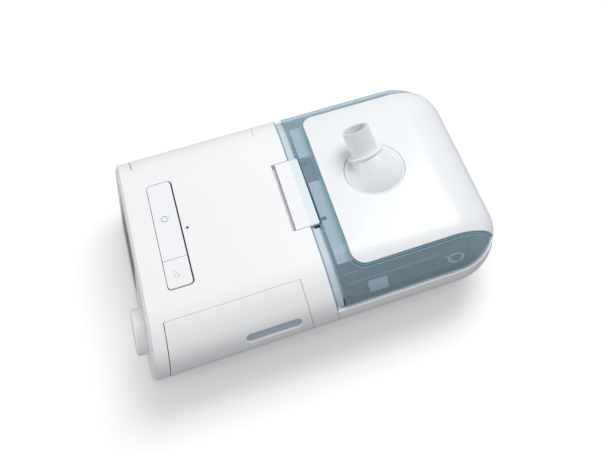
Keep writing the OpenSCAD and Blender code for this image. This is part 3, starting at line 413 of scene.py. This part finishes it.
def coil_tree():
    """Node tree of a coil spring: a wire wound round an upright axis."""
    if "coil_spring" in bpy.data.node_groups:
        return bpy.data.node_groups["coil_spring"]
    steps_per_turn, wire_sides = 20, 8
    tree, start = node_group("coil_spring", {
        "Geometry": "Geometry", "Radius": "Float", "Height": "Float", "Turns": "Float",
        "Wire Radius": "Float", "Material": "Material"})
    spiral = add(tree, "GeometryNodeCurveSpiral", {
        "Start Radius": start.outputs["Radius"], "End Radius": start.outputs["Radius"],
        "Height": start.outputs["Height"], "Rotations": start.outputs["Turns"]})
    spiral.inputs["Resolution"].default_value = steps_per_turn
    ring = add(tree, "GeometryNodeCurvePrimitiveCircle", {
        "Radius": start.outputs["Wire Radius"]})
    ring.inputs["Resolution"].default_value = wire_sides
    wire = add(tree, "GeometryNodeCurveToMesh", {
        "Curve": spiral.outputs["Curve"], "Profile Curve": ring.outputs["Curve"]})
    wire.inputs["Fill Caps"].default_value = True
    places = add(tree, "GeometryNodeInstanceOnPoints", {
        "Points": start.outputs["Geometry"], "Instance": wire.outputs["Mesh"]})
    end_group(tree, places.outputs["Instances"], start.outputs["Material"])
    return tree


def grown(name, tree, source, values, body, replaced=()):
    """Runs a node tree on a source mesh and keeps the result as a plain piece."""
    carrier = bpy.data.objects.new(name + "_source", source)
    bpy.context.scene.collection.objects.link(carrier)
    modifier = carrier.modifiers.new("nodes", "NODES")
    modifier.node_group = tree
    for item in tree.interface.items_tree:
        if item.in_out == "INPUT" and item.name in values:
            modifier[item.identifier] = values[item.name]
    graph = bpy.context.evaluated_depsgraph_get()
    mesh = bpy.data.meshes.new_from_object(carrier.evaluated_get(graph), depsgraph=graph)
    bpy.data.objects.remove(carrier)
    if not mesh.polygons:
        raise RuntimeError(name + " came out empty")
    mesh.name = name
    bm = bmesh.new()
    bm.from_mesh(mesh)
    bpy.data.meshes.remove(mesh)
    return add_object(name, bm, body, values["Material"], replaced)


def bead(name, lines, radius, material, body, sides=8):
    """Round beads along lines of points in metres. A line that ends where it starts is closed."""
    points, edges = [], []
    for line in lines:
        first = len(points)
        closed = (Vector(line[0]) - Vector(line[-1])).length < 1e-6
        row = line[:-1] if closed else line
        points += [tuple(p) for p in row]
        edges += [(first + i, first + i + 1) for i in range(len(row) - 1)]
        if closed:
            edges.append((first + len(row) - 1, first))
    mesh = bpy.data.meshes.new(name + "_line")
    mesh.from_pydata(points, edges, [])
    return grown(name, bead_tree(), mesh,
                 {"Radius": radius, "Sides": sides, "Material": material}, body)


SURFACES = {}
RAY_FROM = 0.3    # metres, higher than any piece


def surface_under(node, x, y, inset=0.0):
    """Point on a node's top surface at x, y, moved into it by inset, in metres."""
    if node not in SURFACES:
        mesh = frame["nodes"][node].data
        SURFACES[node] = BVHTree.FromPolygons([v.co for v in mesh.vertices],
                                              [p.vertices for p in mesh.polygons])
    hit, normal, _, _ = SURFACES[node].ray_cast(Vector((x, y, RAY_FROM)), Vector((0, 0, -1)))
    if hit is None:
        raise RuntimeError("nothing of %s under %.4f %.4f" % (node, x, y))
    return hit - normal.normalized() * inset


def along(node, corners, inset=0.0, step=2.0):
    """Points in metres on a node's surface along corners given in millimetres."""
    points = []
    for a, b in zip(corners, corners[1:]):
        count = max(1, int(math.dist(a, b) / step))
        points += [(a[0] + (b[0] - a[0]) * i / count, a[1] + (b[1] - a[1]) * i / count)
                   for i in range(count)]
    points.append(corners[-1])
    return [surface_under(node, x * MM, y * MM, inset) for x, y in points]


def rounded(corners, radius, steps=6):
    """A path in a plane whose inner corners are rounded."""
    path = [corners[0]]
    for before, corner, after in zip(corners, corners[1:], corners[2:]):
        c = Vector(corner)
        a = (Vector(before) - c).normalized()
        b = (Vector(after) - c).normalized()
        for i in range(steps + 1):
            t = i / steps
            p = c + a * radius * (1 - t) ** 2 + b * radius * t ** 2
            path.append((p.x, p.y))
    path.append(corners[-1])
    return path


def patch(name, node, low, high, inset, thick, material, body, step=2.0):
    """A plate that follows a node's surface from inside, between two corners in millimetres."""
    columns = max(2, int((high[0] - low[0]) / step) + 1)
    rows = max(2, int((high[1] - low[1]) / step) + 1)
    bm = bmesh.new()
    layers = []
    for depth in (inset, inset + thick):
        grid = []
        for i in range(columns):
            x = low[0] + (high[0] - low[0]) * i / (columns - 1)
            grid.append([bm.verts.new(surface_under(
                node, x * MM, (low[1] + (high[1] - low[1]) * j / (rows - 1)) * MM, depth))
                for j in range(rows)])
        layers.append(grid)
    top, under = layers
    for i in range(columns - 1):
        for j in range(rows - 1):
            for grid in layers:
                bm.faces.new((grid[i][j], grid[i + 1][j], grid[i + 1][j + 1], grid[i][j + 1]))
    border = ([(i, 0) for i in range(columns)] + [(columns - 1, j) for j in range(1, rows)]
              + [(i, rows - 1) for i in range(columns - 2, -1, -1)]
              + [(0, j) for j in range(rows - 2, 0, -1)])
    for (a, b), (c, d) in zip(border, border[1:] + border[:1]):
        bm.faces.new((top[a][b], top[c][d], under[c][d], under[a][b]))
    return add_object(name, bm, body, material)


def block(bm, low, high):
    """A box between two corners in millimetres."""
    made = bmesh.ops.create_cube(bm, size=1.0)
    for v in made["verts"]:
        v.co = Vector([(low[k] + (high[k] - low[k]) * (v.co[k] + 0.5)) * MM for k in range(3)])
    return made["verts"]


def copy_of(node):
    """A merged bmesh of a CAD node."""
    bm = bmesh.new()
    bm.from_mesh(frame["nodes"][node].data)
    bmesh.ops.remove_doubles(bm, verts=bm.verts, dist=1e-6)
    bmesh.ops.dissolve_limit(bm, angle_limit=math.radians(0.5), verts=bm.verts, edges=bm.edges)
    return bm


def settings(name):
    """One of the scene's property groups."""
    return getattr(bpy.context.scene, name)


def loose_parts(bm):
    """The places of the vertices of each loose part."""
    left, parts = set(bm.verts), []
    while left:
        stack, part = [left.pop()], []
        while stack:
            v = stack.pop()
            part.append(v.co.copy())
            for e in v.link_edges:
                o = e.other_vert(v)
                if o in left:
                    left.discard(o)
                    stack.append(o)
        parts.append(part)
    return parts


def mesh_body(node):
    """The body that a CAD node rides."""
    return frame["nodes"][node]["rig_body"]


MATERIALS = {}


def dress(slot, *names):
    """Gives CAD nodes the material of a slot."""
    for name in names:
        mesh = frame["nodes"][name].data
        mesh.materials.clear()
        mesh.materials.append(MATERIALS[slot])


# ---------------------------------------------------------------- operators

class MakeFinishes(bpy.types.Operator):
    """Makes every finish and gives the carried-over pieces theirs"""
    bl_idname = "therapy.finishes"
    bl_label = "Finishes"

    def execute(self, context):
        c = settings("unit_colours")
        # after each colour: roughness, then size and depth of the grain in metres
        # satin white moulded shells, with a spark eroded grain of about 0.35 mm
        MATERIALS["white_plastic"] = moulded("satin_white_plastic", c.shell, 0.42, 0.00035,
                                             0.000012)
        # smoother white of the lid cover and the elbow
        MATERIALS["cover_white"] = moulded("smooth_white_plastic", c.cover, 0.3, 0.0006, 0.000004,
                                           coat=0.15)
        # matt white of the buttons, the latch and the dial
        MATERIALS["button_white"] = moulded("matt_white_plastic", c.button, 0.5, 0.0003, 0.00001)
        # pale grey underside with a coarse grain
        MATERIALS["case_grey"] = moulded("textured_pale_plastic", "#E3E6EA", 0.55, 0.0006,
                                         0.00003)
        # unpainted inner mouldings
        MATERIALS["inner_grey"] = moulded("inner_grey_plastic", "#AEB7C2", 0.5, 0.0008, 0.00002)
        # black sockets and motor parts
        MATERIALS["black_plastic"] = moulded("black_plastic", "#2B2C2F", 0.45, 0.0005, 0.00002)
        # smoked window of the display
        MATERIALS["screen_glass"] = dark_window("smoked_window", "#15181D")
        MATERIALS["sensor_grey"] = dark_window("smoked_light_guide", "#5A606C")
        # clear lid: blue-grey tint with a glossy skin, lighter in a band along the front that is
        # partly painted highlight
        MATERIALS["tinted_clear"] = clear("tinted_clear_plastic", c.tint, "#B2CCDA", 0.24, 0.6,
                                          0.04, bands=("#F8FBFC", "#6FA9BD"))
        # clear water tank, almost without colour
        MATERIALS["tank_clear"] = clear("clear_tank_plastic", "#F1F6F9", "#C9DCE6", 0.08, 0.5,
                                        0.06)
        # frosted inner frame of the lid
        MATERIALS["frosted"] = moulded("frosted_plastic", "#F0F3F5", 0.6, 0.0004, 0.00003)
        # soft seals
        MATERIALS["silicone"] = moulded("silicone_rubber", "#D5DADF", 0.65, 0.001, 0.00001)
        # feet
        MATERIALS["foot_rubber"] = moulded("dark_foot_rubber", "#4A4B4F", 0.8, 0.0004, 0.00004)
        # screws, shafts and pins
        MATERIALS["steel"] = metal("bright_steel", "#CFD0D1", 0.25, (1, 1, 0.1))
        # springs of drawn wire
        MATERIALS["spring_steel"] = metal("spring_wire", "#B4B5B7", 0.3, (0.2, 1, 1))
        # plate under the tank
        MATERIALS["heater_metal"] = metal("brushed_aluminium", "#D8D9DB", 0.35, (0.03, 1, 1))
        MATERIALS["board"] = circuit_board("green_circuit_board")
        MATERIALS["filter_media"] = fibre("felted_filter", "#8FA3B8")
        MATERIALS["card_blue"] = moulded("blue_card_plastic", "#3C4A78", 0.5, 0.0006, 0.00001)
        for row in frame["record"]["materials"]:
            if row["slot"] not in MATERIALS:
                raise RuntimeError("no finish for " + row["slot"])
        for name, node in frame["nodes"].items():
            old = node.data.materials[0].name if node.data.materials else ""
            slot = next((s for s in sorted(MATERIALS, key=len, reverse=True) if s in old), None)
            if slot is None:
                raise RuntimeError("no slot found for " + name + " " + old)
            dress(slot, name)
        return {"FINISHED"}


class MakeSymbols(bpy.types.Operator):
    """Prints the symbols on the two buttons"""
    bl_idname = "therapy.symbols"
    bl_label = "Button symbols"

    def execute(self, context):
        size, colours = settings("symbol_sizes"), settings("unit_colours")
        start_at, ramp_at = (-13.5, -98.0), (36.0, -98.6)    # millimetres
        half_gap, step = 38, 6    # of the start symbol's ring, in degrees
        bar_from, bar_to = 0.15, 1.35    # shares of the ring's radius
        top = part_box("therapy_button")[1].z
        low, high = top - size.ink, top + size.ink
        # open ring with a bar through the gap, seen upright from the dial end
        x, y = (a * MM for a in start_at)
        bm = bmesh.new()
        turns = [math.radians(a) for a in range(half_gap, 361 - half_gap, step)]
        ring = [(x + size.ring * math.sin(t), y + size.ring * math.cos(t)) for t in turns]
        strip(bm, ring, size.line, low, high)
        strip(bm, [(x, y + bar_from * size.ring), (x, y + bar_to * size.ring)], size.line, low,
              high)
        add_object("start_symbol", bm, "therapy_button",
                   printed_ink("grey_blue_ink", colours.start_symbol))
        # outline of a ramp, whose corners are shares of its half length
        x, y = (a * MM for a in ramp_at)
        half = size.ramp / 2
        shares = ((-1, -0.45), (1, -0.45), (1, 0.55), (0.7, 0.6))
        bm = bmesh.new()
        strip(bm, [(x + a * half, y + b * half) for a, b in shares], size.line, low, high,
              closed=True)
        add_object("ramp_symbol", bm, "ramp_button",
                   printed_ink("yellow_green_ink", colours.ramp_symbol))
        return {"FINISHED"}


class MakeLidRims(bpy.types.Operator):
    """Lays the rims of the clear lid round its white cover"""
    bl_idname = "therapy.lid_rims"
    bl_label = "Lid rims"

    def execute(self, context):
        lo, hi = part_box("lid_cover")
        half, front = hi.x / MM, lo.y / MM
        rim_gaps = (0.9, 2.6)    # from the cover's edge to each rim, in millimetres
        rear, corner = 138, 13    # where the rims end, and the radius of their corners
        band_ends = ((-90, -37), (34, 90))    # of the pale band, on each side of the latch
        sunk, radius = 0.0001, 0.0003
        teal = moulded("teal_edge", "#86B6C8", 0.2, 0.0005, 0.000005, coat=0.3)
        lines = []
        for out in rim_gaps:
            side, y0 = half + out, front - out
            path = rounded([(side, rear), (side, y0), (-side, y0), (-side, rear)], corner)
            lines.append(along("lid_shell", path, sunk))
        y1 = FRONT_Y / MM + PALE_BAND
        for x0, x1 in band_ends:
            lines.append(along("lid_shell", [(x0, y1), (x1, y1)], sunk))
        bead("cover_rims", lines, radius, teal, "lid")
        return {"FINISHED"}


# Places of what shows through the clear lid, in millimetres
LONG_RIBS = (((77.5, 17), (77.5, 96)), ((84.5, 18.7), (84.5, 93)))
# the dark ribs are partly painted shade in the dark near corner and flank
DARK_RIBS = (((90.4, 50), (90.4, 95)), ((71.5, 13.4), (91.5, 14.8)))
# bright plates under the front band: partly the white flange, partly painted highlight
FRONT_STRIPS = (("far", -88, -37), ("near", 34, 92))
STRIP_FROM, STRIP_TO = 0.9, 6.6    # behind the front edge
STEP_LINES = (((-66.5, 10.2), (-66.5, 22.6)), ((37.5, 11.7), (37.5, 23.3)))
NEAR_TAB = ((86.4, 34), (93.2, 48.5))
CATCH_AT, CATCH_HALF = (89.5, 105), (2.6, 6.5)
CATCH_ARMS = (((87, 97.5), (91.5, 103)), ((88, 112.6), (91.5, 108)))
# the latch stops are dark partly as painted shade
LATCH_STOPS = (((-34, 16.6), (-28.8, 19.6)), ((-15.6, 26.0), (-9.4, 27.6)))
STOP_DROP, STOP_HEIGHT = 0.4, 3    # below the top of the inner frame
LATCH_WINDOW = ((-35.5, 15.2), (-9.6, 27.2))


class MakeLidInside(bpy.types.Operator):
    """Builds what shows through the clear lid: ribs, tab, catch and latch parts"""
    bl_idname = "therapy.lid_inside"
    bl_label = "Inside of the lid"

    def execute(self, context):
        pale = moulded("pale_rib_plastic", "#DDE8EE", 0.35, 0.0005, 0.00001)
        # near white, for the front strips, where it is partly painted highlight, and for the near
        # tab's edge
        bright = moulded("bright_strip_plastic", "#F7FBFC", 0.35, 0.0005, 0.00001)
        # dark blue-grey: partly the parts' own colour through the lid, partly painted shade
        deep = moulded("deep_blue_grey_plastic", "#4E6675", 0.4, 0.0005, 0.00001)
        mid = moulded("blue_grey_plastic", "#8AA3B2", 0.4, 0.0005, 0.00001)
        under, plate = 0.0033, 0.0008    # depth below the lid's top, and thickness of the plates
        fine, thin, stout, stoutest = 0.0004, 0.00045, 0.0005, 0.0006    # radii of the beads

        def inside(*corners, step=2.0):
            return along("lid_shell", corners, under, step)

        bead("long_ribs", [inside(*rib) for rib in LONG_RIBS], stoutest, mid, "lid")
        # dark lines on the near flank and by its front corner, partly painted shade
        bead("dark_ribs", [inside(*rib) for rib in DARK_RIBS], stout, deep, "lid")
        # these plates lift the front band: partly the white flange seen through, partly painted
        # highlight
        for side, x0, x1 in FRONT_STRIPS:
            patch("front_strip_" + side, "lid_shell", (x0, FRONT_Y / MM + STRIP_FROM),
                  (x1, FRONT_Y / MM + STRIP_TO), under, plate, bright, "lid")
        bead("step_lines", [inside(*line) for line in STEP_LINES], fine, pale, "lid")
        low, high = NEAR_TAB
        patch("near_tab", "lid_shell", low, high, under, plate, pale, "lid")
        bead("near_tab_edge", [inside((low[0], high[1]), high)], stoutest, bright, "lid")
        # catch of the lid on the near side: a long ring between two arms
        turns = [a * math.pi / 8 for a in range(16)]
        loop = [(CATCH_AT[0] + CATCH_HALF[0] * math.cos(t),
                 CATCH_AT[1] + CATCH_HALF[1] * math.sin(t)) for t in turns]
        bead("near_catch", [inside(*loop, loop[0], step=1.0)]
             + [inside(*arm) for arm in CATCH_ARMS], stoutest, pale, "lid")
        # latch parts behind the tab, dark blue-grey: partly the parts, partly painted shade
        bm = bmesh.new()
        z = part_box("lid_inner_frame")[1].z / MM - STOP_DROP
        for low, high in LATCH_STOPS:
            block(bm, (*low, z - STOP_HEIGHT), (*high, z))
        add_object("latch_stops", bm, "lid", deep)
        (x0, y0), (x1, y1) = LATCH_WINDOW
        bead("latch_window_rim", [inside((x0, y0), (x1, y0), (x1, y1), (x0, y1), (x0, y0))],
             thin, mid, "lid")
        return {"FINISHED"}


class MakeCover(bpy.types.Operator):
    """Makes the lid's white cover, its under face a hair above the clear shell"""
    bl_idname = "therapy.cover"
    bl_label = "Lid cover"

    def execute(self, context):
        bm = copy_of("lid_cover")
        bm.normal_update()
        gap, looks_down = 0.05, -0.05    # millimetres, and a normal's height
        lift = {}
        for f in bm.faces:
            if f.normal.z < looks_down:
                for v in f.verts:
                    lift[v] = lift.get(v, Vector()) - f.normal
        for v, way in lift.items():
            v.co += way.normalized() * gap * MM
        add_object("lid_cover_dressed", bm, "lid", MATERIALS["cover_white"],
                   replaced=("lid_cover",))
        return {"FINISHED"}


class MakeLatch(bpy.types.Operator):
    """Makes the latch tab, white in front and pale blue where it passes over the lid"""
    bl_idname = "therapy.latch"
    bl_label = "Latch tab"

    def execute(self, context):
        bm = copy_of("latch_tab")
        past_edge = 0.0002
        cut = Vector((0, FRONT_Y + past_edge, 0))
        bmesh.ops.bisect_plane(bm, geom=bm.verts[:] + bm.edges[:] + bm.faces[:],
                               plane_co=cut, plane_no=Vector((0, 1, 0)))
        for f in bm.faces:
            f.material_index = int(f.calc_center_median().y > cut.y)
        piece = add_object("latch_tab_dressed", bm, "latch",
                           MATERIALS["button_white"], replaced=("latch_tab",))
        piece.data.materials.append(moulded("pale_blue_plastic", "#E2EFF5", 0.25, 0.0006,
                                            0.000005, coat=0.3))
        return {"FINISHED"}


class MakeIntake(bpy.types.Operator):
    """Makes the blue-grey screen behind the intake slot"""
    bl_idname = "therapy.intake"
    bl_label = "Intake screen"

    def execute(self, context):
        screen = moulded("blue_grey_screen", "#B4C3D3", 0.5, 0.0005, 0.00001)
        low, high = (92.2, -63.4, 56.8), (92.9, -21.0, 64.6)    # standing upright, millimetres
        middle, lean = 60.7, 0.42    # height it leans about, and how far for each millimetre
        bm = bmesh.new()
        # it leans in the slot: deep under the upper lip, near the face at the lower one
        for v in block(bm, low, high):
            v.co.x += (middle - v.co.z / MM) * lean * MM
        add_object("intake_screen", bm, "filter_door", screen)
        return {"FINISHED"}


class MakeSprings(bpy.types.Operator):
    """Winds the coil springs under the heater and under the buttons"""
    bl_idname = "therapy.springs"
    bl_label = "Coil springs"

    def execute(self, context):
        wire, pitch, least_turns = 0.00025, 0.0016, 3.0    # lengths in metres
        for node, joint in (("heater_springs", None),
                            ("therapy_button_springs", "therapy_button_press"),
                            ("ramp_button_springs", "ramp_button_press")):
            # one spring for each loose part of the node
            bm = copy_of(node)
            centres = []
            for part in loose_parts(bm):
                lo = Vector([min(p[k] for p in part) for k in range(3)])
                hi = Vector([max(p[k] for p in part) for k in range(3)])
                centres.append((lo.x / 2 + hi.x / 2, lo.y / 2 + hi.y / 2, lo.z + wire))
                radius, height = (hi.x - lo.x) / 2, hi.z - lo.z
            bm.free()
            source = bpy.data.meshes.new(node + "_places")
            source.from_pydata(centres, [], [])
            piece = grown(node + "_coils", coil_tree(), source, {
                "Radius": radius - wire, "Height": height - 2 * wire,
                "Turns": max(least_turns, height / pitch), "Wire Radius": wire,
                "Material": MATERIALS["spring_steel"]}, mesh_body(node),
                replaced=(node,))
            if joint:
                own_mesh(piece)
        return {"FINISHED"}


def pale_floor(s):
    """Pale floor, which adds white for the camera only and keeps the shadow."""
    half, drop, cloud_size, cooler, seen = 6.0, 0.0002, 0.5, 1.06, 0.9
    bm = bmesh.new()
    bmesh.ops.create_grid(bm, x_segments=1, y_segments=1, size=half)
    mesh = bpy.data.meshes.new("floor")
    bm.to_mesh(mesh)
    bm.free()
    floor = bpy.data.objects.new("floor", mesh)
    floor.location.z = -drop
    bpy.context.scene.collection.objects.link(floor)
    material, tree, output = new_material("pale_floor")
    path = add(tree, "ShaderNodeLightPath")
    cloud = noise(tree, object_coords(tree), cloud_size)
    # little light comes back from the floor, so that the flanks fall off
    shade = add(tree, "ShaderNodeMix", {"Factor": path.outputs["Is Camera Ray"]},
                data_type="RGBA")
    shade.inputs[6].default_value = (s.bounce, s.bounce, s.bounce * cooler, 1)
    shade.inputs[7].default_value = (seen, seen, seen, 1)
    diffuse = add(tree, "ShaderNodeBsdfDiffuse", {
        "Color": shade.outputs[2],
        "Roughness": between(tree, cloud.outputs["Fac"], 0.3, 0.4)})
    glow = add(tree, "ShaderNodeEmission")
    amount = add(tree, "ShaderNodeMath", {0: path.outputs["Is Camera Ray"]},
                 operation="MULTIPLY")
    amount.inputs[1].default_value = s.fill
    tree.links.new(amount.outputs[0], glow.inputs["Strength"])
    both = add(tree, "ShaderNodeAddShader", {0: diffuse.outputs[0], 1: glow.outputs[0]})
    tree.links.new(both.outputs[0], output.inputs["Surface"])
    mesh.materials.append(material)


def white_room(s):
    """Even light, with a pure white background where the camera looks past the floor."""
    world = bpy.data.worlds.new("white_room")
    bpy.context.scene.world = world
    world.use_nodes = True
    tree = world.node_tree
    tree.nodes.clear()
    path = add(tree, "ShaderNodeLightPath")
    seen = add(tree, "ShaderNodeMath", {0: path.outputs["Is Camera Ray"],
                                        1: path.outputs["Is Transmission Ray"]},
               operation="MAXIMUM")
    sky = add(tree, "ShaderNodeBackground", Strength=s.sky)
    sky.inputs["Color"].default_value = (1, 1, 1, 1)
    white = add(tree, "ShaderNodeBackground", Strength=1.0)
    white.inputs["Color"].default_value = (1, 1, 1, 1)
    mix = add(tree, "ShaderNodeMixShader", {"Fac": seen.outputs[0], 1: sky.outputs[0],
                                            2: white.outputs[0]})
    add(tree, "ShaderNodeOutputWorld", {"Surface": mix.outputs[0]})


def soft_light(name, size, power, place):
    """A round soft light, at a place in metres and turned to the origin."""
    lamp = bpy.data.lights.new(name, "AREA")
    lamp.shape = "DISK"
    lamp.size = size
    lamp.energy = power
    light = bpy.data.objects.new(name, lamp)
    light.location = place
    light.rotation_mode = "QUATERNION"
    light.rotation_quaternion = Vector(place).to_track_quat("Z", "Y")
    bpy.context.scene.collection.objects.link(light)


def photo_camera(s):
    """The camera, where the photograph's was by the fit."""
    place = (0.33914, -0.02942, 0.58545)
    degrees = (32.935, 0.655, 70.192)
    data = bpy.data.cameras.new("camera")
    data.lens = s.lens
    data.sensor_width = 36.0
    data.shift_x = -0.15
    data.shift_y = -0.0576
    camera = bpy.data.objects.new("camera", data)
    camera.location = place
    camera.rotation_euler = Euler([math.radians(a) for a in degrees], "XYZ")
    bpy.context.scene.collection.objects.link(camera)
    bpy.context.scene.camera = camera


class MakeStage(bpy.types.Operator):
    """Makes the floor, the lights and the camera"""
    bl_idname = "therapy.stage"
    bl_label = "Stage"

    def execute(self, context):
        s = settings("unit_stage")
        bpy.context.scene.view_settings.view_transform = "Standard"
        pale_floor(s)
        white_room(s)
        # large, above and towards the humidifier
        soft_light("key_light", 0.9, s.key, (-0.35, 0.55, 1.3))
        # weak, from the raked face's side
        soft_light("front_light", 0.8, s.front, (0.25, -1.25, 0.45))
        photo_camera(s)
        return {"FINISHED"}


class UnitPanel(bpy.types.Panel):
    """Lists the pieces' operators"""
    bl_label = "Therapy unit"
    bl_idname = "VIEW3D_PT_therapy_unit"
    bl_space_type = "VIEW_3D"
    bl_region_type = "UI"
    bl_category = "Therapy unit"

    def draw(self, context):
        for operator in OPERATORS:
            self.layout.operator(operator.bl_idname)
        for name in GROUPS:
            group = getattr(context.scene, name)
            for prop in group.bl_rna.properties:
                if prop.identifier not in ("rna_type", "name"):
                    self.layout.prop(group, prop.identifier)


OPERATORS = [MakeFinishes, MakeSymbols, MakeLidRims, MakeLidInside, MakeCover, MakeLatch,
             MakeIntake, MakeSprings, MakeStage]


def register():
    """Registers the classes and hangs the property groups on the scene."""
    for cls in [*GROUPS.values(), *OPERATORS, UnitPanel]:
        bpy.utils.register_class(cls)
    for name, group in GROUPS.items():
        setattr(bpy.types.Scene, name, bpy.props.PointerProperty(type=group))


def unregister():
    """Takes back what register did."""
    for name in GROUPS:
        delattr(bpy.types.Scene, name)
    for cls in [UnitPanel, *reversed(OPERATORS), *reversed(list(GROUPS.values()))]:
        bpy.utils.unregister_class(cls)


def main():
    """Registers the classes and runs each operator in turn."""
    register()
    for operator in OPERATORS:
        family, name = operator.bl_idname.split(".")
        getattr(getattr(bpy.ops, family), name)()


if __name__ == "__main__":
    main()
